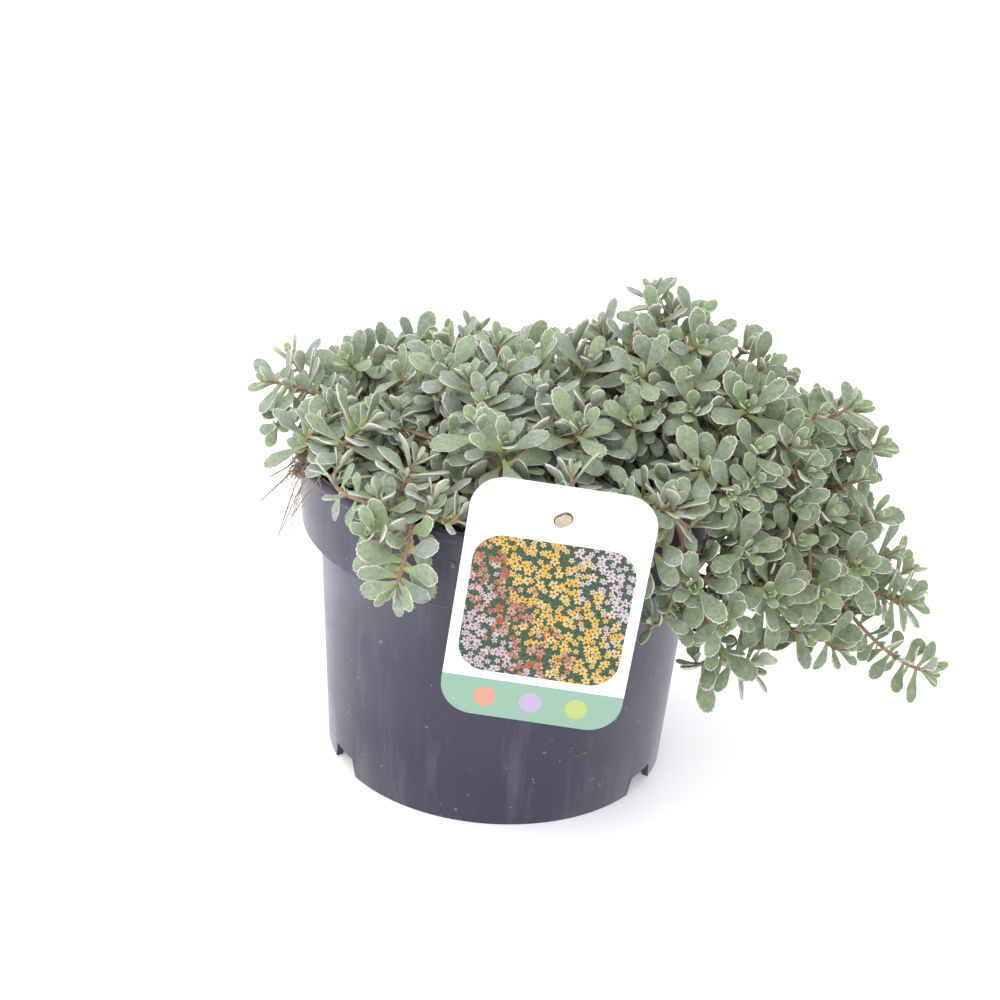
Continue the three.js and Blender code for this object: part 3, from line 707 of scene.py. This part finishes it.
# Where the leaves already stand, by cells of the plant, so that further ones keep clear of them
cell = 24.0
standing = {}
stem_walls = []
for stem in [stem for stems, _ in plants for stem in stems] + [branch for _, branch, _ in branches]:
    rings = [stem.ring(step, 1.4, 45) for step in range(stem.stretches + 1)]
    corners = [point for ring in rings for point in ring]
    faces = [(4 * step + q, 4 * step + (q + 1) % 4, 4 * step + 4 + (q + 1) % 4, 4 * step + 4 + q)
             for step in range(stem.stretches) for q in range(4)]
    stem_walls.append(BVHTree.FromPolygons(corners, faces))
guard_outline = [(0.35, 0.3), (0.95, 0.62), (0.8, 0.86), (0, 1), (-0.8, 0.86), (-0.95, 0.62), (-0.35, 0.3)]


def cells_of(leaf):
    low = [floor((min(a, b) - 4) / cell) for a, b in zip(leaf.point(0, 0.3), leaf.point(0, 1))]
    high = [floor((max(a, b) + 4) / cell) for a, b in zip(leaf.point(0, 0.3), leaf.point(0, 1))]
    return [(i, j, k) for i in range(low[0], high[0] + 1) for j in range(low[1], high[1] + 1)
            for k in range(low[2], high[2] + 1)]


def guard(leaf):
    count = len(guard_outline)
    corners = [leaf.point(x, y, 0.15) for x, y in guard_outline]
    corners += [leaf.point(0.8 * x, y, -0.05 * leaf.length) for x, y in guard_outline]
    return BVHTree.FromPolygons(corners, [tuple(range(count)), tuple(range(2 * count - 1, count - 1, -1))])


def stand(leaf):
    leaf.guard = guard(leaf)
    for place in cells_of(leaf):
        standing.setdefault(place, []).append(leaf)


def clear(leaf):
    corners = [leaf.point(x, y) for x, y in guard_outline]
    if any(in_pot_or_card(corner) or not in_box(corner) for corner in corners):
        return False
    walls = guard(leaf)
    if any(walls.overlap(stem) for stem in stem_walls):
        return False
    near_by = {id(other): other for place in cells_of(leaf) for other in standing.get(place, ())}
    return not any(walls.overlap(other.guard) for other in near_by.values())


for _, leaves in plants:
    for _, leaf in leaves:
        leaf.young = 0.0
        stand(leaf)


# What each crown has besides: the tight bud at its tip, the pairs lower on the stem, and small side buds.
# Each row: the distance below the tip, and the size and lean of the pair.
bud_pairs = [(0.2, 0.15, 10), (0.5, 0.26, 20), (1.1, 0.40, 30)]
lower_pairs = [(15, 0.95, 82), (22, 0.92, 86), (29, 0.86, 88), (36, 0.82, 88), (43, 0.8, 88), (51, 0.76, 90),
               (59, 0.74, 90), (68, 0.7, 90), (78, 0.66, 92), (89, 0.62, 92)]
more_ways = [(0, 0, 1), (0, -18, 1), (22, -8, 0.94), (-22, -8, 0.94), (0, 18, 0.9), (42, 0, 0.85),
             (-42, 0, 0.85), (0, -34, 0.75), (30, -30, 0.7), (-30, -30, 0.7), (0, 0, 0.6)]
bud_pull = 0.35
outer_pull = 0.72


def bud_leaves(stem, length, seed, pairs):
    draw = draws(seed + 50000)
    start = 360 * next(draws(seed))
    made = []
    for level, (back, size, lean) in enumerate(pairs):
        for half in (0, 180):
            turn = start - 90 * (level + 1) + half + 14 * (next(draw) - 0.5)
            long = length * size * (0.9 + 0.2 * next(draw))
            leaf_lean = lean + 10 * (next(draw) - 0.5)
            leaf = Leaf(stem, back, turn, leaf_lean, long, leaf_aspect * 1.1, 0.1, bud_pull)
            leaf.young = min(1, 0.25 + 0.2 * level)
            made.append(leaf)
    return made


def placed_pair(stem, length, start, back, size, lean, draw):
    made = []
    for half in (0, 180):
        turn = start + half + 20 * (next(draw) - 0.5)
        lean_here = lean + 20 * (next(draw) - 0.5)
        long = length * size * (0.95 + 0.25 * next(draw))
        aspect = leaf_aspect * (0.86 + 0.26 * next(draw))
        curl = 0.2 * (next(draw) - 0.6)
        for more_turn, more_lean, smaller in more_ways:
            leaf = Leaf(stem, back, turn + more_turn, lean_here + more_lean, long * smaller, aspect, curl,
                        outer_pull)
            if clear(leaf):
                leaf.young = 0.0
                stand(leaf)
                made.append(leaf)
                break
    return made


def side_bud(stem, back, draw):
    turn = 360 * next(draw)
    long = 3.5 + 3.5 * next(draw)
    made = []
    for quarter in range(4):
        lean = 62 - 20 * (quarter % 2)
        leaf = Leaf(stem, back - 1.5, turn + 90 * quarter, lean, long, leaf_aspect * 1.15, 0.1)
        leaf.young = 0.5
        made.append(leaf)
    return made


young_pair = (2.2, 0.6, 42)
crown_pairs = [(5, 0.92, 60), (9, 1.0, 76)]
bare = [[] for _ in plants]
crowns = []
for number, (stems, leaves) in enumerate(plants):
    bare[number] = [leaf for _, leaf in leaves]
    for k, stem in enumerate(stems):
        crowns.append((number, stem, shoots[number][3][k][3], 100 * (number + 1) + k, True))
for index, (number, stem, length) in enumerate(branches):
    plants[number][0].append(stem)
    crowns.append((number, stem, length, 20000 + index, False))
for number, stem, length, seed, solid in crowns:
    inner = list(reversed(bud_pairs))
    if not solid or length <= big_crown:
        inner = [young_pair] + inner
    bare[number] += bud_leaves(stem, length, seed, inner)
for number, stem, length, seed, solid in crowns:
    if not solid:
        draw = draws(seed + 60000)
        start = 360 * next(draws(seed))
        for level, (back, size, lean) in enumerate(crown_pairs):
            bare[number] += placed_pair(stem, length, start + 90 * level, back, size, lean, draw)
for number, stem, length, seed, solid in crowns:
    draw = draws(seed + 70000)
    levels = 2
    last = 9
    if solid and length > big_crown:
        levels += 1
    if solid and stem.reach > long_stem:
        levels += 1
        last = 16
    start = 360 * next(draws(seed))
    for back, size, lean in lower_pairs:
        share = 1 - back / stem.reach
        if share < 0.12:
            break
        if back <= last or in_pot_or_card(stem.at(share)):
            continue
        bare[number] += placed_pair(stem, length, start + 90 * levels, back, size, lean, draw)
        if next(draw) < 0.3:
            bare[number] += side_bud(stem, back, draw)
        levels += 1


def leaf_onto(plant, leaf, tone):
    paint = plant.verts.layers.float_color.get(leaf_paint) or plant.verts.layers.float_color.new(leaf_paint)
    first = len(plant.verts)
    plant.from_mesh(grown_leaf if leaf.length > 7 else young_leaf)
    plant.verts.ensure_lookup_table()
    thick = min(max(leaf.length * 0.06, 0.35), leaf_depth)
    wave = 7 + 5 * tone
    for corner in plant.verts[first:]:
        x, y, z = corner.co
        ripple = 0.012 * leaf.length * sin(wave * y + 9 * tone) * x
        corner.co = leaf.seated(x, y, z * thick + ripple) * 0.001
        edge, _, _, under = corner[paint]
        corner[paint] = (edge, tone, leaf.young, under)


def tube_onto(shape, places, radii, roundness):
    curve = bpy.data.curves.new("tube", "CURVE")
    curve.dimensions = "3D"
    curve.bevel_depth = 0.001
    curve.bevel_resolution = roundness
    curve.use_fill_caps = True
    line = curve.splines.new("POLY")
    line.points.add(len(places) - 1)
    for mark, place, radius in zip(line.points, places, radii):
        mark.co = (*(place * 0.001), 1)
        mark.radius = radius
    holder = placed("tube", curve)
    tube = final_mesh(holder)
    shape.from_mesh(tube)
    bpy.data.objects.remove(holder)
    bpy.data.curves.remove(curve)
    bpy.data.meshes.remove(tube)


def stem_onto(plant, stem, thick, thin):
    count = max(6, round(stem.reach / 3))
    shares = [step / count for step in range(count + 1)]
    knots = [0.1 * max(0, sin(share * stem.reach * 0.8)) for share in shares]
    radii = [(thick + (thin - thick) * share) * (1 + knot) for share, knot in zip(shares, knots)]
    first = len(plant.faces)
    tube_onto(plant, [stem.at(share) for share in shares], radii, 1)
    plant.faces.ensure_lookup_table()
    for face in plant.faces[first:]:
        face.material_index = 1


leaf_flesh = new_material("leaf_flesh", 0.5, 0.35)
here = in_place(leaf_flesh)
painted = add_node(leaf_flesh.node_tree, "ShaderNodeAttribute", attribute_name=leaf_paint)
edge, tone, young = parts_of(painted.outputs["Color"], "Color")[:3]
under = painted.outputs["Alpha"]
mottle = ramp(cloudy(here, 520, 5, 0.75), (0.32, 0), (0.68, 1))
drift = cloudy(here, 14, 2, 0.5)
grey_green = mixed(mottle, (0.18, 0.235, 0.18, 1), (0.36, 0.415, 0.35, 1))
fresh_green = mixed(mottle, (0.18, 0.255, 0.13, 1), (0.36, 0.44, 0.265, 1))
cushion = mixed(ramp(tone, (0.25, 0), (0.95, 1)), grey_green, fresh_green)
# Leaves towards the right, where the stems trail, are greener and darker: the greener tone is their own, the
# darker part is painted shade.
trail_green_and_painted_shade = mixed(mottle, (0.125, 0.18, 0.095, 1), (0.285, 0.35, 0.225, 1))
body = mixed(ramp(parts_of(here)[0], (0.03, 0), (0.11, 0.9)), cushion, trail_green_and_painted_shade)
unrolled = add_node(leaf_flesh.node_tree, "ShaderNodeUVMap", uv_map=leaf_map)
reach = parts_of(unrolled.outputs[0])[1]
fresh_footed = mixed(ramp(reach, (0.08, 0.9), (0.46, 0)), body, (0.36, 0.43, 0.17, 1))
lively = mixed(young, fresh_footed, (0.34, 0.44, 0.20, 1))
beneath = mixed(under, lively, (0.44, 0.47, 0.39, 1))
ragged = maths("MULTIPLY_ADD", mottle, 0.5, edge)
rim = maths("MULTIPLY", ramp(ragged, (0.70, 0), (0.86, 1)), ramp(reach, (0.18, 0.1), (0.5, 1)))
cream = mixed(ramp(drift, (0.40, 0.1), (0.65, 0.75)), (0.71, 0.68, 0.61, 1), (0.62, 0.45, 0.46, 1))
coat(leaf_flesh, base_color=mixed(rim, beneath, cream), normal=bumped(mottle, 0.0002),
     subsurface_weight=0.4, subsurface_radius=(0.3, 0.5, 0.15), subsurface_scale=0.004)

stem_flesh = new_material("stem_flesh", 0.5, 0.35)
here = in_place(stem_flesh)
banded = cloudy(here, 180, 4, 0.6)
reddish = mixed(banded, (0.20, 0.09, 0.065, 1), (0.42, 0.25, 0.19, 1))
greenish = ramp(cloudy(here, 22, 2, 0.5), (0.5, 0), (0.68, 0.8))
coat(stem_flesh, base_color=mixed(greenish, reddish, (0.22, 0.19, 0.09, 1)),
     normal=bumped(banded, 0.0004))

for number, (stems, leaves) in enumerate(plants):
    plant = bmesh.new()
    plant.verts.layers.float_color.new(leaf_paint)
    draw = draws(7000 + number)
    for leaf in bare[number]:
        leaf_onto(plant, leaf, next(draw))
    for k, stem in enumerate(stems):
        stem_onto(plant, stem, 1.3 if k == 0 else 1.0, 0.8)
    piece = piece_from(f"leafy_shoot_{number + 1:02d}", plant, leaf_flesh, stem_flesh)
    dress(piece, "foliage", f"shoot_{number + 1:02d}")


# The label card
# A thin white plastic card with round corners, hung a little askew from the slot near its top. Its print is
# plain: a panel of five-petalled blossoms in slanting drifts above a mint band with three plain discs.
hole = Vector((0.021, 0, 0.1585))
card_front = -0.0969
card_thickness = 0.0008
card_tilt = radians(-5.2)
card_width = 0.075
card_height = 0.108
card_corner = 0.014
hole_below_top = 0.0145
nose_length = 0.007
nose_width = 0.0046
nose_turn = radians(35)
play = 0.0005
card_right = Vector((cos(card_tilt), 0, sin(card_tilt)))
card_up = Vector((-sin(card_tilt), 0, cos(card_tilt)))


def on_card(across, up, depth):
    return hole + card_right * across + card_up * up + Vector((0, depth, 0))


def rounded(width, height, corner, steps):
    points = []
    half_width = width / 2 - corner
    half_height = height / 2 - corner
    for quarter, (x, y) in enumerate(((1, 1), (-1, 1), (-1, -1), (1, -1))):
        for step in range(steps):
            angle = pi / 2 * (quarter + step / (steps - 1))
            points.append((x * half_width + corner * cos(angle), y * half_height + corner * sin(angle)))
    return points


def turned_slot(grow):
    points = rounded(nose_length + grow, nose_width + grow, (nose_width + grow) / 2 - 1e-5, 13)
    level = cos(nose_turn)
    rise = sin(nose_turn)
    return [(x * level - y * rise, x * rise + y * level) for x, y in points]


card_shape = bmesh.new()
print_map = card_shape.loops.layers.uv.new("print_map")
middle_up = hole_below_top - card_height / 2
outer = [(x, y + middle_up) for x, y in rounded(card_width, card_height, card_corner, 13)]
for points in (outer, turned_slot(2 * play)):
    ring = bmesh.ops.create_circle(card_shape, segments=len(points), radius=1)["verts"]
    for corner, (x, y) in zip(ring, points):
        corner.co = (x, y, 0)
bmesh.ops.bridge_loops(card_shape, edges=card_shape.edges[:])
bmesh.ops.solidify(card_shape, geom=card_shape.faces[:], thickness=card_thickness)
turn_outward(card_shape)
rims = [edge for edge in card_shape.edges if len(edge.link_faces) == 2 and edge.calc_face_angle() > 1.2]
bmesh.ops.bevel(card_shape, geom=rims, offset=0.00018, segments=2, affect="EDGES")
for face in card_shape.faces:
    for loop in face.loops:
        x, y, _ = loop.vert.co
        loop[print_map].uv = (x / card_width + 0.5, (y - middle_up) / card_height + 0.5)
for corner in card_shape.verts:
    x, y, z = corner.co
    corner.co = on_card(x, y, card_front + card_thickness - z)
turn_outward(card_shape)


def boxed(place, centre, half, corner):
    away = vector_maths("ABSOLUTE", vector_maths("SUBTRACT", place, (*centre, 0)))
    beyond = vector_maths("SUBTRACT", away, (half[0] - corner, half[1] - corner, 1))
    outside = vector_maths("LENGTH", vector_maths("MAXIMUM", beyond, (0, 0, 0)))
    return maths("LESS_THAN", outside, corner)


def blossoms(place, size, petal_tint, below):
    cells = add_node(place.id_data, "ShaderNodeTexVoronoi", place, voronoi_dimensions="2D", scale=1 / size)
    from_centre = vector_maths("SUBTRACT", place, cells.outputs["Position"])
    across, up, _ = parts_of(from_centre)
    first, second, _ = parts_of(cells.outputs["Color"], "Color")
    turned = maths("MULTIPLY_ADD", first, 6.28, maths("ARCTAN2", up, across))
    lobes = maths("ABSOLUTE", maths("COSINE", maths("MULTIPLY", turned, 2.5)))
    petal_end = maths("MULTIPLY_ADD", lobes, 0.26 * size, 0.14 * size)
    reach = vector_maths("LENGTH", from_centre)
    petals = maths("LESS_THAN", reach, petal_end)
    heart = maths("LESS_THAN", reach, 0.09 * size)
    paler = maths("MULTIPLY", second, 0.35)
    tinted = mixed(paler, petal_tint, (0.60, 0.56, 0.50, 1))
    flower = mixed(heart, tinted, (0.14, 0.05, 0.01, 1))
    return mixed(petals, below, flower)


printed_card = new_material("printed_card", 0.32, 0.5)
stamped = add_node(printed_card.node_tree, "ShaderNodeUVMap", uv_map="print_map")
card_mm = (card_width * 1000, card_height * 1000, 0)
in_mm = vector_maths("MULTIPLY", stamped.outputs[0], card_mm)
along, up, _ = parts_of(in_mm)
slant = maths("MULTIPLY_ADD", along, 0.010, maths("MULTIPLY", up, 0.006))
wander = maths("MULTIPLY_ADD", cloudy(in_mm, 0.11, 3, 0.6), 0.9, -0.45)
drift = ramp(maths("ADD", slant, wander), (0.0, (0.42, 0.31, 0.38, 1)), (0.42, (0.34, 0.06, 0.02, 1)),
             (0.60, (0.55, 0.32, 0.02, 1)), (0.92, (0.45, 0.36, 0.42, 1)))
drift.node.color_ramp.interpolation = "CONSTANT"
hedge = ramp(cloudy(in_mm, 0.9, 4, 0.7), (0.4, 0), (0.62, 1))
leafage = mixed(hedge, (0.008, 0.018, 0.012, 1), (0.035, 0.11, 0.04, 1))
small = blossoms(in_mm, 3.4, drift, leafage)
shifted = vector_maths("ADD", in_mm, (31.7, 12.3, 0))
picture = blossoms(shifted, 5.2, drift, small)
paper = (0.84, 0.84, 0.83, 1)
band = boxed(in_mm, (37.5, 0), (40, 17.5), 0.01)
sheet = mixed(band, paper, (0.23, 0.37, 0.28, 1))
discs = ((18.5, (0.56, 0.26, 0.20, 1)), (37.5, (0.42, 0.33, 0.50, 1)), (56.5, (0.38, 0.46, 0.15, 1)))
for x, colour in discs:
    sheet = mixed(boxed(in_mm, (x, 9), (4.6, 4.6), 4.6), sheet, colour)
panel = boxed(in_mm, (37.5, 52), (33.0, 31), 12)
smudges = ramp(cloudy(in_mm, 0.06, 4, 0.6), (0.35, 0.26), (0.7, 0.42))
coat(printed_card, base_color=mixed(panel, sheet, picture), roughness=smudges)
card_stock = new_material("card_stock", 0.4)
yellowed = cloudy(in_place(card_stock), 60, 4, 0.6)
coat(card_stock, base_color=mixed(yellowed, paper, (0.76, 0.75, 0.72, 1)))
for face in card_shape.faces:
    if face.normal.y < -0.9:
        face.material_index = 1
label = piece_from("label_plate", card_shape, card_stock, printed_card)
label.data.set_sharp_from_angle(angle=radians(40))
dress(label, "card", "label_card")


# The strap and nose
# A beige moulded strap that stands in the soil inside the wall, crosses the lip and rises behind the card;
# its round-ended nose comes through the card's slot and holds it.
strap_width = 0.008
strap_thickness = 0.0012
strap_depth = 0.024
seat_gap = 0.0003
strap_front = card_front + card_thickness + 0.0006
wall_at_strap = sqrt((collar_foot_radius - pot_wall) ** 2 - (hole.x + strap_width / 2) ** 2)
strap_inside = -wall_at_strap + seat_gap + 0.0002
bridge = pot_height + seat_gap
strap_low = pot_height - strap_depth
strap_top = hole.z + 0.005
outline = [
    (strap_front, strap_top), (strap_front, bridge), (strap_inside, bridge), (strap_inside, strap_low),
    (strap_inside + strap_thickness, strap_low), (strap_inside + strap_thickness, bridge + strap_thickness),
    (strap_front + strap_thickness, bridge + strap_thickness), (strap_front + strap_thickness, strap_top),
]
strap_shape = bmesh.new()
profile = [strap_shape.verts.new((hole.x - strap_width / 2, y, z)) for y, z in outline]
side = strap_shape.faces.new(profile)
grown = bmesh.ops.extrude_face_region(strap_shape, geom=[side])["geom"]
for corner in grown:
    if isinstance(corner, bmesh.types.BMVert):
        corner.co.x += strap_width
turn_outward(strap_shape)
bmesh.ops.bevel(strap_shape, geom=strap_shape.edges[:], offset=0.00025, segments=2, affect="EDGES")
rounds = ((0.0004, 1), (-0.0024, 1), (-0.0028, 0.96), (-0.0030, 0.86), (-0.00305, 0.7))
rings = []
for depth, share in rounds:
    ring = bmesh.ops.create_circle(strap_shape, segments=52, radius=1)["verts"]
    for corner, (x, y) in zip(ring, turned_slot(0)):
        corner.co = on_card(x * share, y * share, strap_front + depth)
    rings.append([edge for edge in strap_shape.edges if edge.verts[0] in ring and edge.verts[1] in ring])
for lower, upper in zip(rings, rings[1:]):
    bmesh.ops.bridge_loops(strap_shape, edges=lower + upper)
bmesh.ops.contextual_create(strap_shape, geom=rings[0])
bmesh.ops.contextual_create(strap_shape, geom=rings[-1])
turn_outward(strap_shape)
beige_plastic = new_material("beige_plastic", 0.4)
here = in_place(beige_plastic)
soiled = ramp(cloudy(here, 240, 4, 0.6), (0.4, 0), (0.7, 1))
coat(beige_plastic, base_color=mixed(soiled, (0.46, 0.37, 0.28, 1), (0.36, 0.28, 0.20, 1)),
     normal=bumped(soiled, 0.0001))
strap_piece = piece_from("label_hanger", strap_shape, beige_plastic)
strap_piece.data.set_sharp_from_angle(angle=radians(40))
dress(strap_piece, "strap", "label_strap")


# The dry roots
# A tuft of old roots from a cutting that lies on the soil by the rim: a knot of fine greyish-brown fibres
# with a few thicker strands, laid over the lip and hanging down outside it.
knot = Vector((-79, -36, 138))
strand_ends = [(-105, -42, 131), (-102, -34, 139), (-95, -50, 122), (-90, -58, 133), (-97, -44, 116)]
draw = draws(4400)


def root_onto(tuft, points, thick, thin):
    last = len(points) - 1
    radii = [thick + (thin - thick) * step / last for step in range(last + 1)]
    tube_onto(tuft, points, radii, 0)


def over_lip(start, end, jitter, count):
    bearing = Vector((end.x, end.y, 0)).normalized()
    lip = rim_radius * 1000
    marks = [start, bearing * (lip - 7) + Vector((0, 0, lip_mm - 1 + next(draw))),
             bearing * (lip - 1.5) + Vector((0, 0, lip_mm + 1.2 + 2 * next(draw))),
             (bearing * (lip + 2.6) + Vector((0, 0, lip_mm - 1.5))).lerp(end, 0.12), end]
    points = []
    phase = 6.3 * next(draw)
    for step in range(count + 1):
        share = step / count * (len(marks) - 1)
        below = min(int(share), len(marks) - 2)
        rest = share - below
        before = marks[max(below - 1, 0)]
        after = marks[min(below + 2, len(marks) - 1)]
        one = marks[below]
        two = marks[below + 1]
        bend = 2 * before - 5 * one + 4 * two - after
        twist = 3 * one - 3 * two + after - before
        place = 0.5 * (2 * one + (two - before) * rest + bend * rest ** 2 + twist * rest ** 3)
        sway = min(step, count - step) / count * 2
        coil = Vector((cos(phase + 0.8 * step), sin(phase + 0.65 * step), cos(phase + 0.5 * step))) * sway
        kink = Vector((next(draw) - 0.5, next(draw) - 0.5, next(draw) - 0.5)) * (0.3 + 0.6 * sway)
        points.append(place + (coil + kink) * jitter)
    return points


tuft = bmesh.new()
for end in strand_ends:
    root_onto(tuft, over_lip(knot, Vector(end), 0.5, 18), 0.5, 0.28)
for _ in range(34):
    base = knot + Vector((next(draw) - 0.5, next(draw) - 0.5, next(draw) * 0.4)) * 9
    near, far = [Vector(strand_ends[int(next(draw) * 4.999)]) for _ in range(2)]
    end = near.lerp(far, next(draw))
    drop = base.lerp(end, 0.78 + 0.22 * next(draw))
    spread = Vector((0.4 * next(draw), next(draw) - 0.5, 0.5 * next(draw) - 0.6 * next(draw))) * 15
    tip = drop + spread
    if hypot(tip.x, tip.y) < rim_radius * 1000 + 2:
        tip = tip * ((rim_radius * 1000 + 2.5) / hypot(tip.x, tip.y))
        tip.z = drop.z
    root_onto(tuft, over_lip(base, tip, 1.9, 22), 0.22, 0.08)
for _ in range(110):
    centre = knot + Vector((-4 - 6 * next(draw), -3 * next(draw), 4 + 4 * next(draw)))
    curl = [centre + Vector((cos(step * 0.7 + 6 * next(draw)), sin(step * 0.7), 0.6 * (next(draw) - 0.5)))
            * (2.5 + 3.5 * next(draw)) for step in range(6)]
    root_onto(tuft, curl, 0.2, 0.08)
root_fibre = new_material("root_fibre", 0.8, 0.2)
here = in_place(root_fibre)
rusty = ramp(cloudy(here, 170, 3, 0.6), (0.42, 0), (0.6, 1))
coat(root_fibre, base_color=mixed(rusty, (0.24, 0.19, 0.155, 1), (0.38, 0.245, 0.165, 1)),
     normal=bumped(cloudy(here, 900, 3, 0.6), 0.0002))
tuft_piece = piece_from("dry_root_tuft", tuft, root_fibre)
dress(tuft_piece, "dry_root", "dry_roots")
